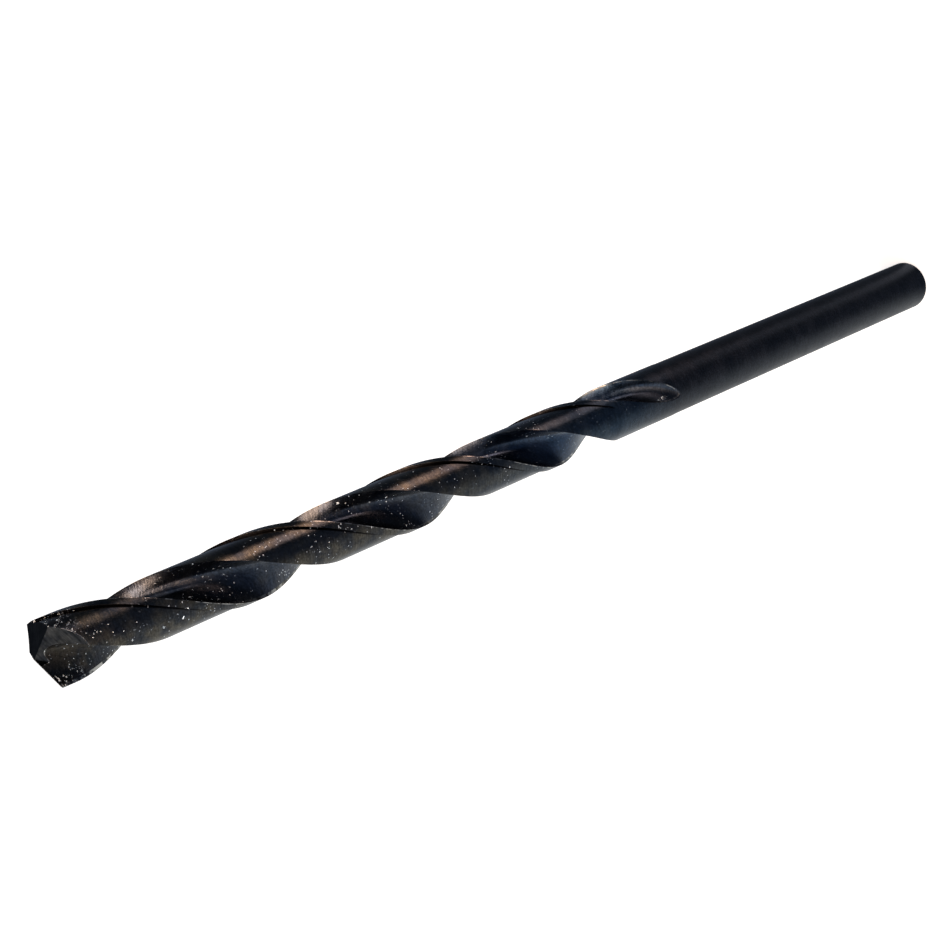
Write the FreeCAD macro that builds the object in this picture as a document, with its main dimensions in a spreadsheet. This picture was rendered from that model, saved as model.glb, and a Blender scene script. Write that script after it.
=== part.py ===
# Twist drill bit, jobber length, for cutting holes in metal: 3.57 mm (9/64 in) across and 73 mm long.
# It stands on the flat end of its shank at z = 0, with its axis on +Z and its split point at the top.
# It is one piece of hardened steel: a round blank, two helical flutes ground into it with their
# run-outs, two lands turned down behind their margins, and a 135 degree point ground to two flanks
# and split by two notches. Lengths are in millimetres and angles in degrees.
import FreeCAD, Part
import Sketcher
import os
from math import acos, atan2, cos, hypot, radians, sin, sqrt, tan

Vector = FreeCAD.Vector
ORIGIN, Y_AXIS = -1, -2
START, END, CENTRE = 1, 2, 3
RUN_OUT_STATIONS, RUN_OUT_REACH = 7, 1.1
FADE_STATIONS, FADE_REACH = 3, 1.1

doc = FreeCAD.newDocument("twist_drill_bit")

# Driving dimensions. Angles round the axis are counted from the direction of the first lip,
# on the plane where the flutes reach their full depth.
SIZES = [
    ("diameter", 3.57, "cutting diameter over the margins"),
    ("shank_diameter", 3.53, "plain shank, a little under the cutting diameter"),
    ("overall_length", 73.0, "shank end to point"),
    ("flute_length", 44.5, "point to the last trace of the flutes"),
    ("wheel_radius", 24.0, "wheel that ground the flutes, whose curve stays in their run-out"),
    ("shank_chamfer", 0.3, "bevel round the shank end"),
    ("shank_gap", 0.5, "last trace of the flutes to the top of the plain shank"),
    ("shank_rise", 0.25, "height of the slope from the shank up to the cutting diameter"),
    ("helix_angle", 27.0, "slope of the leading edges against the axis"),
    ("web_thickness", 0.68, "steel left between the flutes"),
    ("lead_angle", 27.0, "leading edge ahead of the lip's direction"),
    ("land_angle", 93.0, "leading edge to heel"),
    ("heel_side_radius", 0.55, "curve of the flute's bottom on its heel side"),
    ("margin_width", 0.45, "width of the land left at full diameter"),
    ("body_clearance", 0.15, "how far the land is turned down behind its margin"),
    ("clearance_fade", 3.0, "length over which the turned-down land ends"),
    ("point_angle", 135.0, "angle between the two lips"),
    ("chisel_angle", 52.0, "chisel edge from the lip's direction"),
    ("chisel_width", 0.12, "length of the chisel edge left between the notches"),
    ("notch_angle", 37.0, "floor of a notch against the axis"),
    ("notch_fall", 71.5, "way the floor of a notch falls, from the lip's direction"),
    ("notch_wall", 40.0, "run of the notch's wall, from the lip's direction"),
]

# Sizes that follow from the driving ones
FOLLOWING = [
    ("outer_radius", "Sizes.diameter / 2"),
    ("shank_radius", "Sizes.shank_diameter / 2"),
    ("shank_top", "Sizes.overall_length - Sizes.flute_length - Sizes.shank_gap"),
    ("clearance_radius", "outer_radius - Sizes.body_clearance"),
    ("cutter_radius", "outer_radius * 1.15"),
    ("lead", "pi * Sizes.diameter / tan(Sizes.helix_angle)"),
    ("half_web", "Sizes.web_thickness / 2"),
    ("heel_angle", "Sizes.lead_angle + 180 - Sizes.land_angle"),
    ("flute_middle", "(Sizes.lead_angle + heel_angle) / 2"),
    ("flute_depth", "outer_radius - half_web"),
    ("run_out_length", "sqrt(flute_depth * (2 * Sizes.wheel_radius - flute_depth))"),
    ("full_flute", "Sizes.flute_length - run_out_length"),
    ("flute_root", "Sizes.overall_length - full_flute"),
    ("turn_to_point", "-360 * full_flute / lead"),
    ("corner_x", "outer_radius * cos(Sizes.lead_angle)"),
    ("corner_y", "outer_radius * sin(Sizes.lead_angle)"),
    ("lip_rise", "corner_y - half_web"),
    ("lip_radius", "(corner_x ^ 2 + lip_rise ^ 2) / (2 * lip_rise)"),
    ("lip_centre", "half_web + lip_radius"),
    ("corner_slope", "asin(corner_x / lip_radius)"),
    ("heel_x", "clearance_radius * cos(heel_angle)"),
    ("heel_y", "clearance_radius * sin(heel_angle)"),
    ("margin_angle", "Sizes.margin_width / outer_radius * 180 / pi"),
    ("clearance_start", "Sizes.lead_angle - margin_angle"),
    ("clearance_end", "Sizes.lead_angle - Sizes.land_angle - 20"),
    ("flank_slope", "atan(1 / (tan(Sizes.point_angle / 2) * sin(Sizes.chisel_angle)))"),
    ("notch_steep", "tan(90 - Sizes.notch_angle)"),
    ("floor_slope", "atan(notch_steep * cos(Sizes.notch_wall + 90 - Sizes.notch_fall))"),
    ("groove_fall", "notch_steep * cos(Sizes.notch_wall - Sizes.notch_fall)"),
    ("notch_offset", "Sizes.chisel_width / 2 * sin(Sizes.chisel_angle - Sizes.notch_wall)"),
]


def fill_sheet(name, rows):
    """A spreadsheet of named cells, one row each."""
    table = doc.addObject("Spreadsheet::Sheet", name)
    for row, (alias, content, *meaning) in enumerate(rows, start=1):
        table.set(f"A{row}", alias)
        table.set(f"B{row}", str(content))
        table.setAlias(f"B{row}", alias)
        for text in meaning:
            table.set(f"C{row}", text)
    doc.recompute()
    return table


def number(quantity):
    """The plain number of a cell, whether or not it carries a unit."""
    return float(getattr(quantity, "Value", quantity))


sizes = fill_sheet("Sizes", SIZES)
following = fill_sheet("Following", [(alias, "=" + formula) for alias, formula in FOLLOWING])
size = {alias: number(sizes.get(alias)) for alias, _, _ in SIZES}
size.update({alias: number(following.get(alias)) for alias, _ in FOLLOWING})

body = doc.addObject("PartDesign::Body", "Drill")
body.Label = "drill_bit"


def origin_feature(role):
    """One of the body's own origin planes or axes."""
    return next(feature for feature in body.Origin.OriginFeatures if feature.Role == role)


def add_sketch(name, role):
    """An empty sketch on one of the body's origin planes."""
    sketch = body.newObject("Sketcher::SketchObject", name)
    sketch.AttachmentSupport = (origin_feature(role), [""])
    sketch.MapMode = "FlatFace"
    return sketch


def hold(sketch, name, formula, kind, *where):
    """A named constraint whose value follows a formula over the two sheets."""
    index = sketch.addConstraint(Sketcher.Constraint(kind, *where))
    sketch.renameConstraint(index, name)
    sketch.setExpression(f"Constraints.{name}", formula)


def join(sketch, *corners):
    """Coincident constraints between pairs of curve ends."""
    for corner in corners:
        sketch.addConstraint(Sketcher.Constraint("Coincident", *corner))


def arc(centre, radius, start, end):
    """An arc round centre, anticlockwise from the point start to the point end."""
    centre, start, end = (Vector(*point) for point in (centre, start, end))
    circle = Part.Circle(centre, Vector(0, 0, 1), radius)
    return Part.ArcOfCircle(circle, circle.parameter(start), circle.parameter(end))


def polygon(sketch, points):
    """A closed run of lines through the points, joined at their ends."""
    count = len(points)
    for index, point in enumerate(points):
        following_point = points[(index + 1) % count]
        sketch.addGeometry(Part.LineSegment(Vector(*point), Vector(*following_point)))
    join(sketch, *[(index, END, (index + 1) % count, START) for index in range(count)])


# Blank: a turned rod with a bevelled end and a shank a little thinner than the rest
blank_sketch = add_sketch("BlankSketch", "XZ_Plane")
radius, length, bevel = size["outer_radius"], size["overall_length"], size["shank_chamfer"]
shank_radius, shank_top, rise = size["shank_radius"], size["shank_top"], size["shank_rise"]
polygon(
    blank_sketch,
    [
        (0, 0, 0),
        (shank_radius - bevel, 0, 0),
        (shank_radius, bevel, 0),
        (shank_radius, shank_top, 0),
        (radius, shank_top + rise, 0),
        (radius, length, 0),
        (0, length, 0),
    ],
)
for kind, line in (("Horizontal", 0), ("Vertical", 2), ("Vertical", 4), ("Horizontal", 5), ("Vertical", 6)):
    blank_sketch.addConstraint(Sketcher.Constraint(kind, line))
join(blank_sketch, (0, START, ORIGIN, START))
hold(blank_sketch, "radius", "Following.outer_radius", "DistanceX", 5, END, 5, START, radius)
hold(blank_sketch, "length", "Sizes.overall_length", "DistanceY", 6, END, 6, START, length)
hold(blank_sketch, "shank", "Following.shank_radius", "DistanceX", ORIGIN, START, 2, END, shank_radius)
hold(blank_sketch, "shank_top", "Following.shank_top", "DistanceY", ORIGIN, START, 2, END, shank_top)
hold(blank_sketch, "rise", "Sizes.shank_rise", "DistanceY", 3, START, 3, END, rise)
hold(blank_sketch, "bevel_across", "Sizes.shank_chamfer", "DistanceX", 1, START, 1, END, bevel)
hold(blank_sketch, "bevel_along", "Sizes.shank_chamfer", "DistanceY", 1, START, 1, END, bevel)
blank = body.newObject("PartDesign::Revolution", "Blank")
blank.Profile = blank_sketch
blank.ReferenceAxis = (blank_sketch, ["V_Axis"])
blank.Angle = 360
doc.recompute()


def place_across(sketch, below="0", lift="0"):
    """Set a sketch across the axis, some way below the full flute and turned with the helix there.

    A lift moves it away from the axis, in the direction of the middle of the flute.
    """
    turn = f"Following.turn_to_point - 360 * ({below}) / Following.lead"
    sketch.AttachmentOffset = FreeCAD.Placement(Vector(0, 0, 1), FreeCAD.Rotation(Vector(0, 0, 1), 1))
    sketch.setExpression("AttachmentOffset.Rotation.Angle", turn)
    sketch.setExpression("AttachmentOffset.Base.z", f"Following.flute_root - {below}")
    sketch.setExpression("AttachmentOffset.Base.x", f"({lift}) * cos({turn} + Following.flute_middle)")
    sketch.setExpression("AttachmentOffset.Base.y", f"({lift}) * sin({turn} + Following.flute_middle)")


def tangent_point(centre, radius, point):
    """Where a line from the point touches a circle, on the side away from the flute's mouth."""
    across, up = point[0] - centre[0], point[1] - centre[1]
    touch_angle = atan2(up, across) + acos(radius / hypot(across, up))
    return (centre[0] + radius * cos(touch_angle), centre[1] + radius * sin(touch_angle), 0)


def meets_circle(start, along, radius):
    """Where a line from start, running along a unit direction, meets a circle round the axis."""
    towards = start[0] * along[0] + start[1] * along[1]
    run = sqrt(towards**2 + radius**2 - start[0] ** 2 - start[1] ** 2) - towards
    return (start[0] + run * along[0], start[1] + run * along[1], 0)


def draw_flute(sketch):
    """The flute's profile.

    A shallow arc makes the lip, a tight arc the bottom, a line tangent to it the heel side, and
    an arc outside the blank closes them. Both side arcs stand on the line across the lip.
    """
    outer = size["cutter_radius"]
    bottom = (0, size["half_web"], 0)
    lip_centre = (0, size["lip_centre"], 0)
    heel_centre = (0, size["half_web"] + size["heel_side_radius"], 0)
    heel = (size["heel_x"], size["heel_y"], 0)
    touch = tangent_point(heel_centre, size["heel_side_radius"], heel)
    run = hypot(heel[0] - touch[0], heel[1] - touch[1])
    heel_outside = meets_circle(heel, ((heel[0] - touch[0]) / run, (heel[1] - touch[1]) / run), outer)
    slope = radians(size["corner_slope"])
    corner = (size["corner_x"], size["corner_y"], 0)
    lip_outside = meets_circle(corner, (cos(slope), sin(slope)), outer)
    sketch.addGeometry(arc(lip_centre, size["lip_radius"], bottom, lip_outside))
    sketch.addGeometry(arc((0, 0, 0), outer, lip_outside, heel_outside))
    sketch.addGeometry(Part.LineSegment(Vector(*heel_outside), Vector(*touch)))
    sketch.addGeometry(arc(heel_centre, size["heel_side_radius"], touch, bottom))
    sketch.addGeometry(Part.Point(Vector(*heel)), True)
    join(sketch, (0, END, 1, START), (1, END, 2, START), (1, CENTRE, ORIGIN, START))
    sketch.addConstraint(Sketcher.Constraint("Tangent", 2, END, 3, START))
    sketch.addConstraint(Sketcher.Constraint("Tangent", 3, END, 0, START))
    for curve in (0, 3):
        sketch.addConstraint(Sketcher.Constraint("PointOnObject", curve, CENTRE, Y_AXIS))
    sketch.addConstraint(Sketcher.Constraint("PointOnObject", 4, START, 2))
    hold(sketch, "lip_up", "Following.lip_centre", "DistanceY", ORIGIN, START, 0, CENTRE, lip_centre[1])
    hold(sketch, "lip", "Following.lip_radius", "Radius", 0, size["lip_radius"])
    hold(sketch, "outside", "Following.cutter_radius", "Radius", 1, outer)
    hold(sketch, "bottom", "Sizes.heel_side_radius", "Radius", 3, size["heel_side_radius"])
    hold(sketch, "heel_back", "-Following.heel_x", "DistanceX", 4, START, ORIGIN, START, -heel[0])
    hold(sketch, "heel_up", "Following.heel_y", "DistanceY", ORIGIN, START, 4, START, heel[1])


def on_circle(radius, angle):
    """The point at a radius and an angle in degrees round the axis."""
    return FreeCAD.Rotation(Vector(0, 0, 1), angle).multVec(Vector(radius, 0, 0))


def draw_turned_down_land(sketch, depth="1"):
    """A thin ring sector behind the margin, its depth a share of the full body clearance."""
    inner, outer = size["clearance_radius"], size["cutter_radius"]
    start, end = size["clearance_start"], size["clearance_end"]
    sketch.addGeometry(arc((0, 0, 0), inner, on_circle(inner, end), on_circle(inner, start)))
    sketch.addGeometry(Part.LineSegment(on_circle(inner, start), on_circle(outer, start)))
    sketch.addGeometry(arc((0, 0, 0), outer, on_circle(outer, end), on_circle(outer, start)))
    sketch.addGeometry(Part.LineSegment(on_circle(inner, end), on_circle(outer, end)))
    join(sketch, (0, CENTRE, ORIGIN, START), (2, CENTRE, ORIGIN, START))
    join(sketch, (0, END, 1, START), (1, END, 2, END), (2, START, 3, END), (3, START, 0, START))
    for line in (1, 3):
        sketch.addConstraint(Sketcher.Constraint("PointOnObject", ORIGIN, START, line))
    turned_down = f"Following.outer_radius - Sizes.body_clearance * ({depth})"
    hold(sketch, "turned_down", turned_down, "Radius", 0, inner)
    hold(sketch, "outside", "Following.cutter_radius", "Radius", 2, outer)
    hold(sketch, "start", "Following.clearance_start", "Angle", 1, radians(start))
    hold(sketch, "end", "Following.clearance_end", "Angle", 3, radians(end))


def helical_cut(name, sketch):
    """A cut along the drill's right-hand helix, from the full flute's root out past the point."""
    cut = body.newObject("PartDesign::SubtractiveHelix", name)
    cut.Profile = sketch
    cut.ReferenceAxis = (origin_feature("Z_Axis"), [""])
    cut.Mode = "pitch-height-angle"
    cut.setExpression("Pitch", "Following.lead")
    cut.setExpression("Height", "Following.full_flute + Sizes.diameter / 10")
    doc.recompute()
    return cut


def loft_cut(name, sketches):
    """A cut through a row of sketches."""
    cut = body.newObject("PartDesign::SubtractiveLoft", name)
    cut.Profile = sketches[0]
    cut.Sections = sketches[1:]
    doc.recompute()
    return cut


def turn_upright(sketch, angle):
    """Turn a sketch drawn along the axis to a direction round it."""
    sketch.AttachmentOffset = FreeCAD.Placement(Vector(), FreeCAD.Rotation(Vector(0, 1, 0), 1))
    sketch.setExpression("AttachmentOffset.Rotation.Angle", angle)


# Point: two flat flanks that meet in the chisel edge, cut along that edge
point_sketch = add_sketch("PointSketch", "XZ_Plane")
turn_upright(point_sketch, "Sizes.chisel_angle + 90")
side = size["diameter"]
drop = side * tan(radians(size["flank_slope"]))
polygon(
    point_sketch,
    [
        (0, length, 0),
        (side, length - drop, 0),
        (side, length + side, 0),
        (-side, length + side, 0),
        (-side, length - drop, 0),
    ],
)
for kind, line in (("Vertical", 1), ("Horizontal", 2), ("Vertical", 3)):
    point_sketch.addConstraint(Sketcher.Constraint(kind, line))
point_sketch.addConstraint(Sketcher.Constraint("PointOnObject", 0, START, Y_AXIS))
point_sketch.addConstraint(Sketcher.Constraint("Symmetric", 0, END, 4, START, Y_AXIS))
hold(point_sketch, "height", "Sizes.overall_length", "DistanceY", ORIGIN, START, 0, START, length)
hold(point_sketch, "reach", "Sizes.diameter", "DistanceX", 0, START, 0, END, side)
hold(point_sketch, "above", "Sizes.diameter", "DistanceY", 0, START, 1, END, side)
flank_fall = "Sizes.diameter * tan(Following.flank_slope)"
hold(point_sketch, "flank", flank_fall, "DistanceY", 0, END, 0, START, drop)
point = body.newObject("PartDesign::Pocket", "Point")
point.Profile = point_sketch
point.Type = "ThroughAll"
point.Midplane = True
doc.recompute()

# Flute: full depth from its root to the point
flute_sketch = add_sketch("FluteSketch", "XY_Plane")
place_across(flute_sketch)
draw_flute(flute_sketch)
doc.recompute()
flute = helical_cut("Flute", flute_sketch)

# Run-out: the same profile, still turning, lifted clear of the blank along the wheel's circle
run_out_sketches = [flute_sketch]
for station in range(1, RUN_OUT_STATIONS + 1):
    below = f"Following.run_out_length * {RUN_OUT_REACH} * {station} / {RUN_OUT_STATIONS}"
    lifted = add_sketch(f"RunOutSketch{station}", "XY_Plane")
    place_across(lifted, below, f"Sizes.wheel_radius - sqrt(Sizes.wheel_radius ^ 2 - ({below}) ^ 2)")
    draw_flute(lifted)
    run_out_sketches.append(lifted)
doc.recompute()
run_out = loft_cut("RunOut", run_out_sketches)

# Body clearance: the land turned down behind its margin, ending in a short fade
clearance_sketch = add_sketch("ClearanceSketch", "XY_Plane")
place_across(clearance_sketch)
draw_turned_down_land(clearance_sketch)
doc.recompute()
clearance = helical_cut("Clearance", clearance_sketch)
fade_sketches = [clearance_sketch]
for station in range(1, FADE_STATIONS + 1):
    share = f"{station} / {FADE_STATIONS}"
    fading = add_sketch(f"FadeSketch{station}", "XY_Plane")
    place_across(fading, f"Sizes.clearance_fade * {share}")
    draw_turned_down_land(fading, f"1 - {FADE_REACH} * {share}")
    fade_sketches.append(fading)
doc.recompute()
fade = loft_cut("ClearanceFade", fade_sketches)

# Notch: a groove that splits the point, its wall upright and its floor falling to the heel. Its
# sketch stands back from the axis, up the groove, so that one cut along the groove makes it all.
notch_sketch = add_sketch("NotchSketch", "XZ_Plane")
turn_upright(notch_sketch, "Sizes.notch_wall + 90")
notch_sketch.setExpression("AttachmentOffset.Base.x", "-Following.outer_radius * cos(Sizes.notch_wall)")
notch_sketch.setExpression("AttachmentOffset.Base.y", "Following.outer_radius * Following.groove_fall")
notch_sketch.setExpression("AttachmentOffset.Base.z", "Following.outer_radius * sin(Sizes.notch_wall)")
offset = size["notch_offset"]
fall = side * tan(radians(size["floor_slope"]))
polygon(
    notch_sketch,
    [
        (offset, length, 0),
        (offset + side, length - fall, 0),
        (offset + side, length + side, 0),
        (offset, length + side, 0),
    ],
)
for kind, line in (("Vertical", 1), ("Horizontal", 2), ("Vertical", 3)):
    notch_sketch.addConstraint(Sketcher.Constraint(kind, line))
hold(notch_sketch, "offset", "Following.notch_offset", "DistanceX", ORIGIN, START, 0, START, offset)
hold(notch_sketch, "height", "Sizes.overall_length", "DistanceY", ORIGIN, START, 0, START, length)
hold(notch_sketch, "reach", "Sizes.diameter", "DistanceX", 0, START, 0, END, side)
hold(notch_sketch, "above", "Sizes.diameter", "DistanceY", 0, START, 1, END, side)
floor_fall = "Sizes.diameter * tan(Following.floor_slope)"
hold(notch_sketch, "floor", floor_fall, "DistanceY", 0, END, 0, START, fall)
notch = body.newObject("PartDesign::Pocket", "Notch")
notch.Profile = notch_sketch
notch.Type = "ThroughAll"
notch.UseCustomVector = True
notch.setExpression("Direction.x", "cos(Sizes.notch_wall)")
notch.setExpression("Direction.y", "sin(Sizes.notch_wall)")
notch.setExpression("Direction.z", "-Following.groove_fall")
doc.recompute()

# The second flute, land and notch, half a turn round
pair = body.newObject("PartDesign::PolarPattern", "BothSides")
pair.Originals = [flute, run_out, clearance, fade, notch]
pair.Axis = (origin_feature("Z_Axis"), [""])
pair.Angle = 360
pair.Occurrences = 2
body.Tip = pair
doc.recompute()

# Checks before writing: every feature sound, one solid, and each cut on the side meant
for feature in doc.Objects:
    if "Invalid" in feature.State or "Error" in feature.State:
        raise RuntimeError(f"{feature.Name} is not sound: {feature.State}")
solid = pair.Shape
if solid.isNull() or not solid.isValid() or len(solid.Solids) != 1:
    raise RuntimeError("the drill is not one valid solid")
stages = [blank, point, flute, run_out, clearance, fade, notch, pair]
for before, after in zip(stages, stages[1:]):
    if after.Shape.Volume >= before.Shape.Volume:
        raise RuntimeError(f"{after.Name} cut nothing")

os.makedirs("parts", exist_ok=True)
solid.exportStep("parts/drill_bit.step")
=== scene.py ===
import bmesh
import bpy
import numpy as np
from mathutils import Matrix, Vector


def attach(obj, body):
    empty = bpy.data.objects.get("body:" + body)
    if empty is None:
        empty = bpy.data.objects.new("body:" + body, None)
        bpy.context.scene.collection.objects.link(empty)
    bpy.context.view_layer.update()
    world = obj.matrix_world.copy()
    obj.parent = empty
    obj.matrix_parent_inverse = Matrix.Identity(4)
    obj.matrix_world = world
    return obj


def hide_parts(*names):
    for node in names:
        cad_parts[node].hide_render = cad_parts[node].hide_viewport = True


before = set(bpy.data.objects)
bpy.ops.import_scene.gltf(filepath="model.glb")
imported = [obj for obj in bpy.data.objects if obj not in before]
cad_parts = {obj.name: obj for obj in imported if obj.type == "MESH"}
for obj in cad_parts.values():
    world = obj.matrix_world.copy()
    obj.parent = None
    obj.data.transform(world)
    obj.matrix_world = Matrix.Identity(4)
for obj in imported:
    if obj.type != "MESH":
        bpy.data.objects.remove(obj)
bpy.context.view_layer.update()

# Ground body of the drill
# A rod of high-speed steel, hardened and then ground: two helical flutes at full depth from the
# point to their root, where the wheel lifts out of the steel along its own curve, and between
# them two lands, each turned down behind the narrow margin that rubs in the hole.
MM = 0.001
RADIUS = 1.785 * MM
LENGTH = 73.0 * MM
FLUTE_LENGTH = 44.5 * MM
WHEEL_RADIUS = 24.0 * MM
HELIX_ANGLE = np.radians(27.0)
HALF_WEB = 0.34 * MM
LEAD_ANGLE = np.radians(27.0)
LAND_ANGLE = np.radians(93.0)
BOTTOM_RADIUS = 0.55 * MM
MARGIN_WIDTH = 0.45 * MM
BODY_CLEARANCE = 0.15 * MM
CLEARANCE_FADE = 3.0 * MM
FADE_RATE = 1.1
SHANK_CHAMFER = 0.3 * MM
BEVEL_DEPTH = 0.9 * SHANK_CHAMFER
SHANK_RADIUS = 1.765 * MM
SHANK_TOP = 28.0 * MM
SHANK_RISE = 0.25 * MM
SHANK_FOOT = 1.6 * SHANK_CHAMFER
HELIX_LEAD = 2 * np.pi * RADIUS / np.tan(HELIX_ANGLE)
FLUTE_DEPTH = RADIUS - HALF_WEB
RUN_OUT = np.sqrt(FLUTE_DEPTH * (2 * WHEEL_RADIUS - FLUTE_DEPTH))
FLUTE_ROOT = LENGTH - FLUTE_LENGTH + RUN_OUT
HEEL_ANGLE = LEAD_ANGLE + np.pi - LAND_ANGLE
FLUTE_MIDDLE = (LEAD_ANGLE + HEEL_ANGLE) / 2
BODY_RADIUS = RADIUS - BODY_CLEARANCE

# How finely the surface is divided, and how far past the rod its profile and rows go on
CURVE_POINTS = 1600
HEEL_OVERRUN = 1.8
LIP_OVERRUN = 1.5
ROWS_ABOVE_POINT = 0.4 * MM
FULL_ROWS = 232
RUN_OUT_ROWS = 80
RUN_OUT_CROWDING = 1.5
SHANK_ROWS = 28
BEVEL_ROWS = 9
END_RINGS = np.array([0.75, 0.4])
FLUTE_COLUMNS = 50
MARGIN_COLUMNS = 9
STEP_COLUMNS = 4
BODY_COLUMNS = 40
MERGE_DISTANCE = 2e-8
SHORTEST_EDGE = 1e-8
SHARP_ANGLE = np.radians(28)


def flute_curve():
    """Points along one flute's profile, from its heel side to its lip side, as an x and a y array.

    The lip side is an arc centred on the y axis that passes through (0, half web) and the leading
    corner: its radius is (x^2 + rise^2) / (2 rise). The bottom is a tighter arc through the same
    point, and the heel side is the line that touches that arc and passes through the heel corner.
    Both sides go on a little outside the rod.
    """
    corner = RADIUS * np.array([np.cos(LEAD_ANGLE), np.sin(LEAD_ANGLE)])
    rise = corner[1] - HALF_WEB
    lip_radius = (corner[0] ** 2 + rise**2) / (2 * rise)
    centre = np.array([0.0, HALF_WEB + BOTTOM_RADIUS])
    heel = BODY_RADIUS * np.array([np.cos(HEEL_ANGLE), np.sin(HEEL_ANGLE)])
    across, up = heel - centre
    touch_angle = np.arctan2(up, across) + np.arccos(BOTTOM_RADIUS / np.hypot(across, up))
    touch = centre + BOTTOM_RADIUS * np.array([np.cos(touch_angle), np.sin(touch_angle)])
    reach = touch + HEEL_OVERRUN * (heel - touch)
    heel_side = np.linspace(reach, touch, CURVE_POINTS)
    bottom_turn = np.linspace(touch_angle, 1.5 * np.pi, CURVE_POINTS)
    bottom = centre + BOTTOM_RADIUS * np.stack([np.cos(bottom_turn), np.sin(bottom_turn)], axis=1)
    lip_turn = np.linspace(0, LIP_OVERRUN * np.arcsin(corner[0] / lip_radius), CURVE_POINTS)
    lip_x = lip_radius * np.sin(lip_turn)
    lip_y = HALF_WEB + lip_radius * (1 - np.cos(lip_turn))
    curve = np.concatenate([heel_side, bottom[1:], np.stack([lip_x, lip_y], axis=1)[1:]])
    return curve[:, 0], curve[:, 1]


def crossing(level, radii, run, last):
    """Where each row of radii first, or last, falls through its level, as a length along the run.

    Between the two points on either side the radius is taken as a straight line. A row that stays
    outside gives its nearest point to the axis.
    """
    inside = radii < level[:, None]
    outside = ~inside.any(axis=1)
    inside[outside, np.argmin(radii[outside], axis=1)] = True
    if last:
        after = radii.shape[1] - 1 - np.argmax(inside[:, ::-1], axis=1)
        before = np.minimum(after + 1, radii.shape[1] - 1)
    else:
        after = np.argmax(inside, axis=1)
        before = np.maximum(after - 1, 0)
    rows = np.arange(len(radii))
    high, low = radii[rows, before], radii[rows, after]
    share = np.where(outside, 0, np.clip((level - low) / np.where(high > low, high - low, 1), 0, 1))
    return run[after] + share * (run[before] - run[after])


def wheel_lift(heights):
    """Lift of the wheel at each height below the flute's root: w - sqrt(w^2 - below^2)."""
    below = np.clip(FLUTE_ROOT - heights, 0, 0.9 * WHEEL_RADIUS)
    return WHEEL_RADIUS - np.sqrt(WHEEL_RADIUS**2 - below**2)


def turned_down(heights):
    """Radius of the land behind its margin: turned down to the root, then a straight fade."""
    share = np.clip(1 - FADE_RATE * (FLUTE_ROOT - heights) / CLEARANCE_FADE, 0, 1)
    return RADIUS - BODY_CLEARANCE * share


def eased(count):
    """Shares from 0 to 1, closer together near both ends: (1 - cos(pi t)) / 2."""
    return (1 - np.cos(np.pi * np.linspace(0, 1, count))) / 2


def drill_half(heights):
    """One flute and the land clockwise of it, as rows of x and y at each height.

    At each height the flute's profile is lifted by the wheel, and only its stretch inside the rod
    is kept. The land then follows circles about the axis: at full radius over the margin, down a
    step, and at the turned-down radius to the other flute's heel, half a turn back. Every row is
    turned by 2 pi (z - length) / lead.
    """
    curve_x, curve_y = flute_curve()
    run = np.concatenate([[0], np.cumsum(np.hypot(np.diff(curve_x), np.diff(curve_y)))])
    lift = wheel_lift(heights)
    lifted_x = curve_x[None, :] + lift[:, None] * np.cos(FLUTE_MIDDLE)
    lifted_y = curve_y[None, :] + lift[:, None] * np.sin(FLUTE_MIDDLE)
    radii = np.hypot(lifted_x, lifted_y)
    body_radius = turned_down(heights)
    heel_run = crossing(body_radius, radii, run, False)
    lip_run = crossing(np.full(len(heights), RADIUS), radii, run, True)
    along = heel_run[:, None] + (lip_run - heel_run)[:, None] * eased(FLUTE_COLUMNS)[None, :]
    flute_x = np.interp(along, run, curve_x) + lift[:, None] * np.cos(FLUTE_MIDDLE)
    flute_y = np.interp(along, run, curve_y) + lift[:, None] * np.sin(FLUTE_MIDDLE)
    lead_angle = np.arctan2(flute_y[:, -1], flute_x[:, -1])
    heel_angle = np.arctan2(flute_y[:, 0], flute_x[:, 0])
    margin_end = LEAD_ANGLE - MARGIN_WIDTH / RADIUS
    margin_share = eased(MARGIN_COLUMNS)[None, 1:]
    margin_turn = lead_angle[:, None] + (margin_end - lead_angle)[:, None] * margin_share
    margin = np.full_like(margin_turn, RADIUS)
    step_share = np.linspace(0, 1, STEP_COLUMNS)[None, 1:]
    step = RADIUS + (body_radius - RADIUS)[:, None] * step_share
    step_turn = np.full_like(step, margin_end)
    body_end = heel_angle - np.pi
    body_turn = margin_end + (body_end - margin_end)[:, None] * eased(BODY_COLUMNS)[None, 1:]
    body = np.broadcast_to(body_radius[:, None], body_turn.shape)
    land_turn = np.concatenate([margin_turn, step_turn, body_turn], axis=1)
    land = np.concatenate([margin, step, body], axis=1)
    half_x = np.concatenate([flute_x, land * np.cos(land_turn)], axis=1)
    half_y = np.concatenate([flute_y, land * np.sin(land_turn)], axis=1)
    screw = 2 * np.pi * (heights[:, None] - LENGTH) / HELIX_LEAD
    turned_x = half_x * np.cos(screw) - half_y * np.sin(screw)
    turned_y = half_x * np.sin(screw) + half_y * np.cos(screw)
    return turned_x, turned_y


# The bottom arc leaves the rod where the distance of its centre is the rod's radius plus its own
bottom_up = HALF_WEB + BOTTOM_RADIUS
half_b = bottom_up * np.sin(FLUTE_MIDDLE)
last_lift = -half_b + np.sqrt(half_b**2 + (RADIUS + BOTTOM_RADIUS) ** 2 - bottom_up**2)
flute_last = FLUTE_ROOT - np.sqrt(last_lift * (2 * WHEEL_RADIUS - last_lift))
full_rows = np.linspace(LENGTH + ROWS_ABOVE_POINT, FLUTE_ROOT, FULL_ROWS)
run_out_share = np.linspace(1, 0, RUN_OUT_ROWS)[1:] ** RUN_OUT_CROWDING
rows = np.concatenate([full_rows, flute_last + (FLUTE_ROOT - flute_last) * run_out_share])
half_x, half_y = drill_half(rows)

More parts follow.
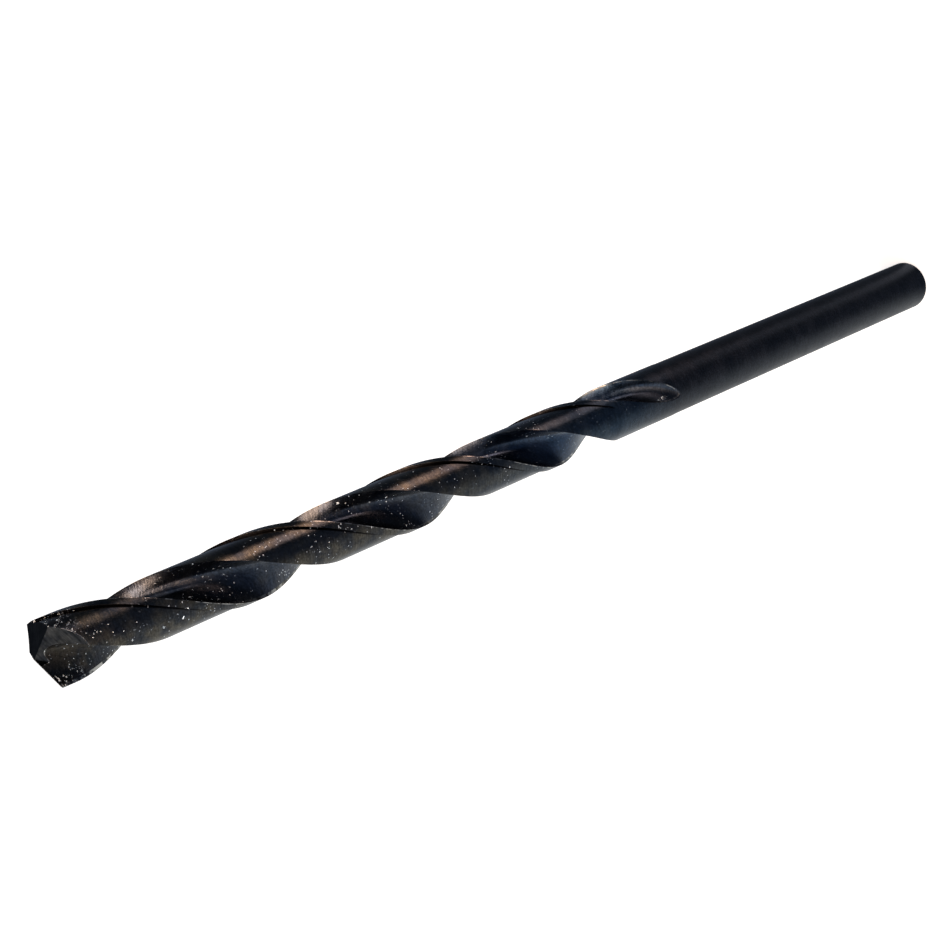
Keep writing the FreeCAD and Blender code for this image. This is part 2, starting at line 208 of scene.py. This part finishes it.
# Below the flutes the columns run straight down the shank to a softly rounded bevel
shank_rows = np.append(SHANK_TOP + SHANK_RISE, np.linspace(SHANK_TOP, SHANK_FOOT, SHANK_ROWS))
shank_radii = np.append(RADIUS, np.full(SHANK_ROWS, SHANK_RADIUS))
bevel_turn = np.linspace(0, np.pi / 2, BEVEL_ROWS)
bevel_height = SHANK_CHAMFER * (1 - np.sin(bevel_turn))
bevel_radius = SHANK_RADIUS - BEVEL_DEPTH * (1 - np.cos(bevel_turn))
lower_heights = np.concatenate([shank_rows, bevel_height, np.zeros(len(END_RINGS))])
lower_radii = np.concatenate([shank_radii, bevel_radius, bevel_radius[-1] * END_RINGS]) / RADIUS
body_x = np.concatenate([half_x, lower_radii[:, None] * half_x[-1]])
body_y = np.concatenate([half_y, lower_radii[:, None] * half_y[-1]])
body_heights = np.concatenate([rows, lower_heights])

# The other flute and land are the same, half a turn round; each half's last column starts the next
ring_x = np.concatenate([body_x[:, :-1], -body_x[:, :-1]], axis=1)
ring_y = np.concatenate([body_y[:, :-1], -body_y[:, :-1]], axis=1)
ring_z = np.broadcast_to(body_heights[:, None], ring_x.shape)
row_count, ring_count = ring_x.shape
grid = np.stack([ring_x, ring_y, ring_z], axis=2).reshape(-1, 3)
row, column = np.meshgrid(np.arange(row_count - 1), np.arange(ring_count), indexing="ij")
following = (column + 1) % ring_count
quads = np.stack(
    [
        row * ring_count + column,
        row * ring_count + following,
        (row + 1) * ring_count + following,
        (row + 1) * ring_count + column,
    ],
    axis=2,
).reshape(-1, 4)
last_ring = (row_count - 1) * ring_count + np.arange(ring_count)
shank_centre = len(grid)
points = np.concatenate([grid, [[0, 0, 0]]])
fan = np.stack([last_ring, np.roll(last_ring, -1), np.full(ring_count, shank_centre)], axis=1)
top = np.arange(ring_count)[::-1]
body_mesh = bpy.data.meshes.new("drill_body")
body_mesh.from_pydata(points.tolist(), [], quads.tolist() + fan.tolist() + [top.tolist()])


def tidy_mesh(mesh):
    """Merge points that coincide and turn every face outwards."""
    work = bmesh.new()
    work.from_mesh(mesh)
    bmesh.ops.remove_doubles(work, verts=work.verts, dist=MERGE_DISTANCE)
    bmesh.ops.dissolve_degenerate(work, edges=work.edges, dist=SHORTEST_EDGE)
    bmesh.ops.recalc_face_normals(work, faces=work.faces)
    work.to_mesh(mesh)
    work.free()


tidy_mesh(body_mesh)
drill = bpy.data.objects.new("drill", body_mesh)
bpy.context.scene.collection.objects.link(drill)

# Split point
# Ground last: two flat flanks that meet in a chisel edge at 135 degrees, and behind each lip a
# notch whose upright wall cuts the chisel edge short and whose floor falls steeply to the heel.
POINT_ANGLE = np.radians(135.0)
CHISEL_ANGLE = np.radians(52.0)
CHISEL_WIDTH = 0.12 * MM
NOTCH_STEEP = np.tan(np.radians(90.0 - 37.0))
NOTCH_FALL = np.radians(71.5)
NOTCH_WALL = np.radians(40.0)
FLANK_STEEP = 1 / (np.tan(POINT_ANGLE / 2) * np.sin(CHISEL_ANGLE))
NOTCH_OFFSET = CHISEL_WIDTH / 2 * np.sin(CHISEL_ANGLE - NOTCH_WALL)
REACH = 4 * MM


def direction(angle):
    """The level unit vector at an angle round the axis."""
    return np.array([np.cos(angle), np.sin(angle), 0.0])


def unit(vector):
    """The vector at length one."""
    return vector / np.linalg.norm(vector)


def prism(name, outline, along):
    """A closed prism: the outline's points moved back and forth by the vector along."""
    count = len(outline)
    corners = np.concatenate([outline - along, outline + along])
    sides = [[i, (i + 1) % count, count + (i + 1) % count, count + i] for i in range(count)]
    ends = [list(range(count))[::-1], list(range(count, 2 * count))]
    mesh = bpy.data.meshes.new(name)
    mesh.from_pydata(corners.tolist(), [], sides + ends)
    tidy_mesh(mesh)
    tool = bpy.data.objects.new(name, mesh)
    bpy.context.scene.collection.objects.link(tool)
    return tool


def profile(angle, sides_and_heights):
    """Points in the upright plane at an angle, each given by its distance sideways and height."""
    return np.array([s * direction(angle) + [0, 0, h] for s, h in sides_and_heights])


def grind(piece, tool):
    """Take the tool's shape out of the piece for good, and remove the tool."""
    cut = piece.modifiers.new("grind", "BOOLEAN")
    cut.operation = "DIFFERENCE"
    cut.solver = "EXACT"
    cut.object = tool
    ground = piece.evaluated_get(bpy.context.evaluated_depsgraph_get())
    mesh = bpy.data.meshes.new_from_object(ground)
    piece.modifiers.clear()
    piece.data = mesh
    bpy.data.objects.remove(tool)


flank_drop = REACH * FLANK_STEEP
flank_outline = profile(
    CHISEL_ANGLE + np.pi / 2,
    [
        (0, LENGTH),
        (REACH, LENGTH - flank_drop),
        (REACH, LENGTH + REACH),
        (-REACH, LENGTH + REACH),
        (-REACH, LENGTH - flank_drop),
    ],
)
grind(drill, prism("flanks", flank_outline, REACH * direction(CHISEL_ANGLE)))
floor_slope = NOTCH_STEEP * np.cos(NOTCH_WALL + np.pi / 2 - NOTCH_FALL)
wall_slope = NOTCH_STEEP * np.cos(NOTCH_WALL - NOTCH_FALL)
for turn in (0, np.pi):
    notch_outline = profile(
        turn + NOTCH_WALL + np.pi / 2,
        [
            (NOTCH_OFFSET, LENGTH),
            (NOTCH_OFFSET + REACH, LENGTH - floor_slope * REACH),
            (NOTCH_OFFSET + REACH, LENGTH + REACH),
            (NOTCH_OFFSET, LENGTH + REACH),
        ],
    )
    falling = direction(turn + NOTCH_WALL) - [0, 0, wall_slope]
    grind(drill, prism("notch", notch_outline, REACH * falling))
drill.data.shade_smooth()
drill.data.set_sharp_from_angle(angle=SHARP_ANGLE)

# Steel and its dark oxide
# The whole drill is steamed in an oxide that is bluest towards the shank, navy in the flutes and
# brown on the lands. Along the edges it shows bright steel, partly worn through by handling and
# cutting and partly painted highlight, and pale specks stick to it, thickest at the point.

# Radii from which a place counts as land, and bands given as rise, full, fall and gone
LAND_FROM = 1.600 * MM
LAND_FULL = 1.632 * MM
STEP_BAND = (1.60 * MM, 1.63 * MM, 1.76 * MM, 1.78 * MM)
RIM_BAND = (1.68 * MM, 1.73 * MM, 1.750 * MM, 1.760 * MM)
RUN_OUT_BAND = (28.1 * MM, 28.6 * MM, 33.7 * MM, 34.7 * MM)

# Stretches of the grinding marks, per metre along x, y and z, or along, outwards and round
RING_SCALE = (1200.0, 1200.0, 16000.0)
ACROSS_SCALE = (11000.0, 900.0, 1.2)
ACROSS_SLANT = 0.9 * MM
WHEEL_MARK_SCALE = (900, 14000, 900)

# Colours in linear light: the oxide's dark and pale patches, what lies on it or under it, and a
# painted shade
OXIDE_SHADES = {
    "flute": ((0.031, 0.040, 0.059), (0.052, 0.057, 0.068)),
    "blue flute": ((0.018, 0.036, 0.070), (0.032, 0.051, 0.089)),
    "dull flute": ((0.018, 0.020, 0.024), (0.046, 0.040, 0.032)),
    "brown land": ((0.032, 0.036, 0.043), (0.080, 0.073, 0.060)),
    "blue land": ((0.021, 0.035, 0.056), (0.037, 0.053, 0.075)),
    "shank": ((0.019, 0.023, 0.031), (0.028, 0.032, 0.042)),
}
# Painted shade: a near black in the corner of each land's step
STEP_SHADE = (0.006, 0.006, 0.007, 1)
# Bare steel on the worn edges, which also stands for a painted highlight along them
BARE_STEEL_AND_HIGHLIGHT = (0.42, 0.41, 0.39, 1)
SPECK_COLOUR = (0.74, 0.86, 0.98, 1)
GROUND_DARK = (0.006, 0.0065, 0.0075, 1)
GROUND_PALE = (0.020, 0.0195, 0.019, 1)

# Raggedness of the specks against their size, and the one nick
SPECK_RAGGED = 0.7
SPECK_WOBBLE = 3.2
NICK_PLACE = np.array([-0.43, -1.48, 29.95]) * MM
NICK_SIZE = np.array([0.16, 0.16, 0.60]) * MM

# How near and how parallel a face must be to a plane of the point
ON_PLANE = 2e-6
ALONG_NORMAL = 0.999


class Nodes:
    """A node tree that is written like arithmetic: each call adds a node and returns its output."""

    def __init__(self, tree):
        self.tree = tree

    def add(self, kind, **settings):
        """A new node with its settings."""
        node = self.tree.nodes.new(kind)
        for name, value in settings.items():
            setattr(node, name, value)
        return node

    def feed(self, socket, value):
        """Link an output to the socket, or write a plain number or colour on it."""
        if isinstance(value, bpy.types.NodeSocket):
            self.tree.links.new(value, socket)
        else:
            socket.default_value = value

    def feed_all(self, node, values):
        """Feed the node's first sockets in their order, and return the node."""
        for socket, value in zip(node.inputs, values):
            self.feed(socket, value)
        return node

    def math(self, operation, *values):
        """One sum: the operation's name in capitals, then its numbers or outputs."""
        return self.feed_all(self.add("ShaderNodeMath", operation=operation), values).outputs[0]

    def times(self, first, second):
        """The product of two numbers."""
        return self.math("MULTIPLY", first, second)

    def plus(self, first, second):
        """The sum of two numbers."""
        return self.math("ADD", first, second)

    def minus(self, first, second):
        """The first number less the second."""
        return self.math("SUBTRACT", first, second)

    def larger(self, first, second):
        """The larger of two numbers."""
        return self.math("MAXIMUM", first, second)

    def vector(self, operation, *values):
        """One sum of vectors: a vector, or a number for a length or a dot product."""
        node = self.feed_all(self.add("ShaderNodeVectorMath", operation=operation), values)
        return node.outputs["Value" if operation in ("LENGTH", "DOT_PRODUCT") else "Vector"]

    def scaled(self, colour, factor):
        """A colour times a number."""
        node = self.feed_all(self.add("ShaderNodeVectorMath", operation="SCALE"), [colour])
        self.feed(node.inputs["Scale"], factor)
        return node.outputs["Vector"]

    def ramp(self, value, low, high, to_low=0.0, to_high=1.0):
        """Smooth step of the value from low to high."""
        node = self.add("ShaderNodeMapRange", interpolation_type="SMOOTHSTEP")
        return self.feed_all(node, (value, low, high, to_low, to_high)).outputs[0]

    def band(self, value, rise, full, fall, gone):
        """One from full to fall, and smoothly nothing below rise and above gone."""
        return self.times(self.ramp(value, rise, full), self.ramp(value, gone, fall))

    def noise(self, vector, scale, detail=3.0, roughness=0.5):
        """Soft noise about a half, at a scale per metre."""
        node = self.add("ShaderNodeTexNoise")
        self.feed(node.inputs["Vector"], vector)
        self.feed(node.inputs["Scale"], scale)
        self.feed(node.inputs["Detail"], detail)
        self.feed(node.inputs["Roughness"], roughness)
        return node.outputs["Fac"]

    def join(self, x, y, z):
        """A vector from three numbers."""
        return self.feed_all(self.add("ShaderNodeCombineXYZ"), (x, y, z)).outputs[0]

    def mix(self, share, first, second):
        """First colour to second by a share."""
        node = self.add("ShaderNodeMix", data_type="RGBA")
        self.feed(node.inputs[0], share)
        self.feed(node.inputs[6], first)
        self.feed(node.inputs[7], second)
        return node.outputs[2]

    def emboss(self, shader, height, strength, distance):
        """Let a height tilt the shader's normal."""
        bump = self.add("ShaderNodeBump")
        bump.inputs["Strength"].default_value = strength
        bump.inputs["Distance"].default_value = distance
        self.feed(bump.inputs["Height"], height)
        self.feed(shader.inputs["Normal"], bump.outputs[0])


def new_finish(name):
    """A material, its nodes and its shader."""
    material = bpy.data.materials.new(name)
    material.use_nodes = True
    nodes = Nodes(material.node_tree)
    shader = material.node_tree.nodes["Principled BSDF"]
    return material, nodes, shader


oxide, n, shader = new_finish("oxide_steel")
place = n.add("ShaderNodeTexCoord").outputs["Object"]
axes = n.feed_all(n.add("ShaderNodeSeparateXYZ"), [place])
x, y, z = axes.outputs
radius = n.math("SQRT", n.plus(n.times(x, x), n.times(y, y)))
round_angle = n.math("ARCTAN2", y, x)
screw_turn = n.times(n.minus(z, LENGTH), 2 * np.pi / HELIX_LEAD)

# Angle on the drill's own profile, half a turn at a time, counted from the heel of a land
own_angle = n.minus(round_angle, n.plus(screw_turn, HEEL_ANGLE - np.pi))
profile_angle = n.math("FLOORED_MODULO", own_angle, np.pi)
on_land = n.ramp(radius, LAND_FROM, LAND_FULL)
fluted = n.ramp(z, flute_last - 1 * MM, FLUTE_ROOT - 2 * MM)
in_flute = n.times(fluted, n.minus(1.0, on_land))
on_shank = n.minus(1.0, fluted)

# Grinding marks: rings round the outside, and lines across the flutes, both from stretched noise
rings = n.noise(n.vector("MULTIPLY", place, RING_SCALE), 1.0, detail=4.0, roughness=0.6)
across_run = n.join(n.minus(z, n.times(own_angle, ACROSS_SLANT)), radius, own_angle)
across = n.noise(n.vector("MULTIPLY", across_run, ACROSS_SCALE), 1.0, roughness=0.65)
marks = n.plus(n.times(in_flute, n.minus(across, rings)), rings)

# The oxide, cloudy everywhere and graded along the drill, with painted shade in the corner of each
# step
cloud = n.noise(place, 900.0, detail=4.0, roughness=0.6)
patches = n.ramp(cloud, 0.35, 0.68)
pits = n.noise(place, 9000.0, detail=2.0, roughness=0.7)
shade = {}
for part_name, (dark, pale) in OXIDE_SHADES.items():
    shade[part_name] = n.mix(patches, (*dark, 1), (*pale, 1))
past_blue = n.ramp(z, FLUTE_ROOT - 2 * MM, FLUTE_ROOT + 14 * MM)
flute_colour = n.mix(past_blue, shade["blue flute"], shade["flute"])
near_tip = n.ramp(z, LENGTH - 7 * MM, LENGTH - 2 * MM)
flute_colour = n.mix(near_tip, flute_colour, shade["dull flute"])
past_blue_land = n.ramp(z, FLUTE_ROOT - 4 * MM, FLUTE_ROOT + 16 * MM)
land_colour = n.mix(past_blue_land, shade["blue land"], shade["brown land"])
colour = n.mix(in_flute, land_colour, flute_colour)
colour = n.mix(on_shank, colour, shade["shank"])
from_step = n.minus(profile_angle, LAND_ANGLE - MARGIN_WIDTH / RADIUS)
to_step = n.times(n.math("ABSOLUTE", from_step), RADIUS)
in_step = n.times(n.band(radius, *STEP_BAND), fluted)
# Painted shade, near black, in the corner of the step behind each margin
step_shade = n.times(n.ramp(to_step, 0.16 * MM, 0.06 * MM), in_step)
colour = n.mix(step_shade, colour, STEP_SHADE)
grain = n.times(n.ramp(marks, 0.32, 0.70, 0.74, 1.28), n.ramp(pits, 0.3, 0.72, 0.70, 1.35))
colour = n.scaled(colour, grain)

# Broken lines along both edges of the lands, most near the point: partly steel worn through, partly
# painted highlight
to_lead = n.times(n.math("ABSOLUTE", n.minus(profile_angle, LAND_ANGLE)), RADIUS)
heel_turn = n.math("MINIMUM", profile_angle, n.minus(np.pi, profile_angle))
to_heel = n.times(heel_turn, BODY_RADIUS)
break_up = n.noise(place, 2600.0, detail=3.0, roughness=0.6)
lead_line = n.times(n.ramp(to_lead, 0.07 * MM, 0.015 * MM), n.ramp(break_up, 0.42, 0.62))
heel_line = n.times(n.ramp(to_heel, 0.05 * MM, 0.01 * MM), n.ramp(break_up, 0.46, 0.70))
wear_and_highlight = n.larger(n.times(lead_line, 0.85), n.times(heel_line, 0.6))
wear_and_highlight = n.times(wear_and_highlight, n.ramp(z, LENGTH - 9 * MM, LENGTH - 4 * MM, 1.0, 1.8))
land_above_run_out = n.times(on_land, n.ramp(z, FLUTE_ROOT - 4 * MM, FLUTE_ROOT))
wear_and_highlight = n.times(wear_and_highlight, land_above_run_out)

# The same along the rim of each run-out
run_out_rim = n.times(n.band(radius, *RIM_BAND), n.band(z, *RUN_OUT_BAND))
run_out_rim = n.times(run_out_rim, n.ramp(break_up, 0.45, 0.62, 0.03, 0.4))
wear_and_highlight = n.larger(wear_and_highlight, run_out_rim)

# The same along the edges of the flanks and of the notch floors
apex = np.array([0, 0, LENGTH])
point_planes = []


def beyond(normal, offset):
    """Distance of a place outside a plane of the point, which lies at an offset from the apex."""
    from_origin = float(np.dot(normal, apex) + offset)
    return n.minus(n.vector("DOT_PRODUCT", place, normal), from_origin)


def at_plane(normal, offset):
    """Closeness of a place to such a plane, from 0 to 1."""
    return n.ramp(n.math("ABSOLUTE", beyond(normal, offset)), 0.05 * MM, 0.01 * MM)


for side in (1, -1):
    flank_normal = unit(side * FLANK_STEEP * direction(CHISEL_ANGLE - np.pi / 2) + [0, 0, 1])
    floor_normal = unit(side * NOTCH_STEEP * direction(NOTCH_FALL) + [0, 0, 1])
    wall_normal = side * direction(NOTCH_WALL + np.pi / 2)
    floor_offset = NOTCH_OFFSET * np.dot(floor_normal, wall_normal)
    point_planes += [
        (flank_normal, 0),
        (floor_normal, floor_offset),
        (wall_normal, NOTCH_OFFSET),
    ]
    flank_line = at_plane(flank_normal, 0)
    floor_line = at_plane(floor_normal, floor_offset)
    past_wall = n.math("GREATER_THAN", beyond(wall_normal, NOTCH_OFFSET), 0.0)
    point_line = n.larger(flank_line, n.times(floor_line, past_wall))
    point_line = n.times(point_line, n.ramp(break_up, 0.34, 0.60, 0.1, 0.8))
    wear_and_highlight = n.larger(wear_and_highlight, point_line)


def specks(scale, size, sparse, seed):
    """Small ragged spots: near the centres of scattered cells, in one cell out of several."""
    wobble = n.add("ShaderNodeTexNoise")
    n.feed(wobble.inputs["Vector"], place)
    n.feed(wobble.inputs["Scale"], SPECK_WOBBLE * scale)
    ragged = n.vector("MULTIPLY_ADD", wobble.outputs["Color"], [SPECK_RAGGED / scale] * 3, place)
    cells = n.add("ShaderNodeTexVoronoi")
    n.feed(cells.inputs["Vector"], n.vector("ADD", ragged, (seed, seed, seed)))
    n.feed(cells.inputs["Scale"], scale)
    pick = n.feed_all(n.add("ShaderNodeSeparateColor"), [cells.outputs["Color"]])
    spot = n.ramp(cells.outputs["Distance"], size, size * 0.5)
    spot = n.times(spot, n.ramp(pick.outputs[1], 0.0, 1.0, 0.3, 1.0))
    return n.times(spot, n.math("GREATER_THAN", pick.outputs[0], sparse))


# Pale specks: gathered in drifts, fewer towards the shank, and a crust close behind each lip
big_specks = specks(2600.0, 0.20, 0.76, 0.3)
fine_specks = specks(6500.0, 0.30, 0.70, 0.7)
near_point = n.ramp(z, LENGTH - 3.5 * MM, LENGTH - 1.5 * MM)
drift = n.plus(n.noise(place, 620.0, detail=2.0), n.times(near_point, 0.05))
dust = n.times(n.larger(big_specks, n.times(fine_specks, 0.6)), n.ramp(drift, 0.44, 0.58))
at_lip = n.ramp(z, LENGTH - 2.4 * MM, LENGTH - 1.4 * MM)
at_lip = n.times(at_lip, n.ramp(radius, 0.9 * MM, 1.3 * MM))
crust = n.times(n.ramp(pits, 0.56, 0.64), n.ramp(break_up, 0.47, 0.56))
dust = n.larger(dust, n.times(at_lip, n.times(crust, 0.8)))
dust = n.times(dust, n.ramp(z, FLUTE_ROOT - 8 * MM, FLUTE_ROOT + 10 * MM))

# One nick where the run-out of a flute ends
nick_share = n.vector("DIVIDE", n.vector("SUBTRACT", place, NICK_PLACE), NICK_SIZE)
nick_spot = n.ramp(n.vector("LENGTH", nick_share), 1.0, 0.6)
nick = n.times(nick_spot, n.ramp(pits, 0.52, 0.60))
dust = n.larger(dust, n.times(nick, 0.8))

# Bare steel along the edges: partly wear, partly painted highlight
steel_and_highlight_colour = n.mix(wear_and_highlight, colour, BARE_STEEL_AND_HIGHLIGHT)
n.feed(shader.inputs["Base Color"], n.mix(dust, steel_and_highlight_colour, SPECK_COLOUR))
n.feed(shader.inputs["Metallic"], n.minus(1.0, dust))
satin = n.ramp(cloud, 0.3, 0.7, 0.17, 0.27)
n.feed(shader.inputs["Roughness"], n.plus(satin, n.times(on_shank, 0.18)))
n.emboss(shader, n.plus(n.plus(marks, pits), n.times(dust, 1.5)), 0.4, 0.012 * MM)

# The ground faces of the point are bare of the browner oxide and show straight wheel marks
ground, g, ground_shader = new_finish("ground_point")
ground_place = g.add("ShaderNodeTexCoord").outputs["Object"]
turned = g.add("ShaderNodeMapping")
g.feed(turned.inputs["Vector"], ground_place)
turned.inputs["Rotation"].default_value = (0, 0, -CHISEL_ANGLE)
turned.inputs["Scale"].default_value = WHEEL_MARK_SCALE
wheel_marks = g.noise(turned.outputs[0], 1.0, detail=3.0, roughness=0.6)
ground_cloud = g.noise(ground_place, 1500.0, detail=4.0, roughness=0.6)
ground_colour = g.mix(g.ramp(ground_cloud, 0.35, 0.7), GROUND_DARK, GROUND_PALE)
ground_colour = g.scaled(ground_colour, g.ramp(wheel_marks, 0.3, 0.7, 0.6, 1.5))
g.feed(ground_shader.inputs["Base Color"], ground_colour)
ground_shader.inputs["Metallic"].default_value = 1.0
ground_shader.inputs["Roughness"].default_value = 0.30
g.emboss(ground_shader, wheel_marks, 0.3, 0.01 * MM)

# A face is a ground one if it lies in one of the point's planes
drill.data.materials.clear()
drill.data.materials.append(oxide)
drill.data.materials.append(ground)
face_count = len(drill.data.polygons)
normals = np.empty(face_count * 3)
centres = np.empty(face_count * 3)
drill.data.polygons.foreach_get("normal", normals)
drill.data.polygons.foreach_get("center", centres)
normals, centres = normals.reshape(-1, 3), centres.reshape(-1, 3)
on_point = np.zeros(face_count, dtype=bool)
for face_normal, offset in point_planes:
    flat = np.abs((centres - apex) @ face_normal - offset) < ON_PLANE
    on_point |= flat & (np.abs(normals @ face_normal) > ALONG_NORMAL)
drill.data.polygons.foreach_set("material_index", on_point.astype(np.int32))
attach(drill, "root")
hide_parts("drill_bit")

# Camera
# It looks along the drill from beside and beyond its point, so the point is near and the shank far.
FOCAL_PIXELS = 1475.27
FRAME_PIXELS = 950
TIP_PIXEL = np.array([34.05, 660.06])
FAR_PIXEL = np.array([2336.14, -329.77])
TIP_DISTANCE = 39.363 * RADIUS
TURN = np.radians(-12.15)
SENSOR_WIDTH = 36
NEAREST_SEEN = 0.005


def ray(pixel):
    """Direction through a pixel of the photograph's frame: right, down, forward."""
    return np.append((pixel - FRAME_PIXELS / 2) / FOCAL_PIXELS, 1.0)


# Camera axes against the drill's: the axis runs to the far pixel, and one direction across it is up
down_axis = unit(ray(FAR_PIXEL))
up_across = unit(np.array([0, -1, 0]) - np.dot([0, -1, 0], down_axis) * down_axis)
side_across = np.cross(down_axis, up_across)
tip_place = ray(TIP_PIXEL) * TIP_DISTANCE
to_drill = np.stack([
    np.cos(TURN) * up_across + np.sin(TURN) * side_across,
    np.sin(TURN) * up_across - np.cos(TURN) * side_across,
    -down_axis,
])
camera_place = apex - to_drill @ tip_place
camera_data = bpy.data.cameras.new("camera")
camera_data.sensor_width = SENSOR_WIDTH
camera_data.lens = FOCAL_PIXELS / FRAME_PIXELS * SENSOR_WIDTH
camera_data.clip_start = NEAREST_SEEN
camera = bpy.data.objects.new("camera", camera_data)
bpy.context.scene.collection.objects.link(camera)
camera.matrix_world = Matrix([
    [*(to_drill[i] * [1, -1, -1]), camera_place[i]] for i in range(3)
] + [[0, 0, 0, 1]])
bpy.context.scene.camera = camera

# Floor and light
# A plain pale floor under the shank's end, in a room that the steel sees as white on one side and
# dim on the other, with a warm glow between them. A large soft lamp and a small warm one light it.
FLOOR_HALF = 3.0
FLOOR_GAP = 2e-5
FLOOR_GREY = (0.9, 0.9, 0.9, 1)
BRIGHT_SIDE = np.radians(165)
GLOW_SIDE = np.radians(-36)
ROOM_DARKEST = (0.08, 0.095, 0.12, 1)
ROOM_DIM = (0.15, 0.18, 0.24, 1)
ROOM_BRIGHT = (0.89, 0.91, 0.90, 1)
GLOW_EDGE = (0.7, 0.7, 0.75, 1)
GLOW_NEAR = (3.0, 1.9, 1.5, 1)
GLOW_FAR = (5.5, 3.7, 2.9, 1)
GLOW_BAND = (0.035, 0.06, 0.12, 0.16)
WHITE = (1, 1, 1, 1)
ROOM_GREY = (0.4, 0.4, 0.4, 1)
FILL_DISTANCE = 0.50
FILL_SIZE = 0.45
FILL_POWER = 1.8
WARM_DISTANCE = 0.30
WARM_ROUND = np.radians(-100)
WARM_UP = np.radians(18)
WARM_WIDTH = 0.26
WARM_HEIGHT = 0.05
WARM_POWER = 0.80
WARM_COLOUR = (1.0, 0.66, 0.43)

floor_square = np.array([[-1, -1, 0], [1, -1, 0], [1, 1, 0], [-1, 1, 0]])
floor_corners = FLOOR_HALF * floor_square - [0, 0, FLOOR_GAP]
floor_mesh = bpy.data.meshes.new("floor")
floor_mesh.from_pydata(floor_corners.tolist(), [], [[0, 1, 2, 3]])
floor = bpy.data.objects.new("floor", floor_mesh)
scene = bpy.context.scene
scene.collection.objects.link(floor)


def facing(nodes, place, side):
    """Cosine of the angle, seen from above, between a place and one side of the room."""
    flat = nodes.vector("NORMALIZE", nodes.vector("MULTIPLY", place, (1, 1, 0)))
    return nodes.vector("DOT_PRODUCT", flat, direction(side))


def room_light(nodes, place):
    """Colour of the room in a direction: white on its bright side, dim and bluish opposite."""
    to_bright = facing(nodes, place, BRIGHT_SIDE)
    dim = nodes.mix(nodes.ramp(to_bright, -1.0, -0.3), ROOM_DARKEST, ROOM_DIM)
    return nodes.mix(nodes.ramp(to_bright, -0.1, 1.0), dim, ROOM_BRIGHT)


# The floor: pale and bright to the camera, and to the steel a part of the room with the glow on it
floor_finish, f, floor_shader = new_finish("pale_floor")
floor_path = f.add("ShaderNodeLightPath")
floor_place = f.add("ShaderNodeTexCoord").outputs["Object"]
reach = f.vector("LENGTH", floor_place)
seen = f.times(floor_path.outputs["Is Camera Ray"], f.ramp(reach, 0.15, 0.8, 0.60, 0.68))
floor_shader.inputs["Base Color"].default_value = FLOOR_GREY
floor_shader.inputs["Roughness"].default_value = 0.9
floor_shader.inputs["Emission Color"].default_value = WHITE
f.feed(floor_shader.inputs["Emission Strength"], seen)
to_glow = f.ramp(facing(f, floor_place, GLOW_SIDE), 0.94, 0.998)
dim_glow = f.mix(f.times(to_glow, 0.8), room_light(f, floor_place), GLOW_EDGE)
warm_glow = f.mix(f.ramp(reach, 0.06, 0.09), GLOW_NEAR, GLOW_FAR)
glow_share = f.times(to_glow, f.band(reach, *GLOW_BAND))
glow = f.add("ShaderNodeEmission")
f.feed(glow.inputs["Color"], f.mix(glow_share, dim_glow, warm_glow))
both = f.add("ShaderNodeMixShader")
f.feed_all(both, (floor_path.outputs["Is Glossy Ray"], floor_shader.outputs[0], glow.outputs[0]))
f.feed(floor_finish.node_tree.nodes["Material Output"].inputs["Surface"], both.outputs[0])
floor_mesh.materials.append(floor_finish)

# The room: white to the camera, graded to the steel, and an even grey as light
world = bpy.data.worlds.new("room")
scene.world = world
world.use_nodes = True
w = Nodes(world.node_tree)
room_path = w.add("ShaderNodeLightPath")
room_way = w.add("ShaderNodeTexCoord").outputs["Generated"]
straight = w.larger(room_path.outputs["Is Camera Ray"], room_path.outputs["Is Transmission Ray"])
plain = w.mix(straight, ROOM_GREY, WHITE)
room_colour = w.mix(room_path.outputs["Is Glossy Ray"], plain, room_light(w, room_way))
background = world.node_tree.nodes["Background"]
w.feed(background.inputs["Color"], room_colour)
background.inputs["Strength"].default_value = 1.0


def soft_lamp(name, place, aim, width, height, power, colour=(1.0, 1.0, 1.0)):
    """A flat lamp at a place, in metres, facing a point, its width level with the floor."""
    lamp = bpy.data.lights.new(name, "AREA")
    lamp.shape = "RECTANGLE"
    lamp.size = width
    lamp.size_y = height
    lamp.energy = power
    lamp.color = colour
    holder = bpy.data.objects.new(name, lamp)
    scene.collection.objects.link(holder)
    holder.location = place
    holder.rotation_euler = (Vector(aim) - Vector(place)).to_track_quat("-Z", "Y").to_euler()


# The large lamp shines from below on the camera's side, the warm one from low beside the drill
drill_middle = np.array([0, 0, LENGTH / 2])
up_in_picture = to_drill @ np.array([0, -1, 0])
towards_camera = to_drill @ np.array([0, 0, -1])
fill_place = drill_middle + FILL_DISTANCE * unit(towards_camera - 1.5 * up_in_picture)
soft_lamp("fill", fill_place, drill_middle, FILL_SIZE, FILL_SIZE, FILL_POWER)
warm_way = np.cos(WARM_UP) * direction(WARM_ROUND) + [0, 0, np.sin(WARM_UP)]
warm_place = drill_middle + WARM_DISTANCE * warm_way
soft_lamp("warm", warm_place, drill_middle, WARM_WIDTH, WARM_HEIGHT, WARM_POWER, WARM_COLOUR)

scene.view_settings.view_transform = "Standard"
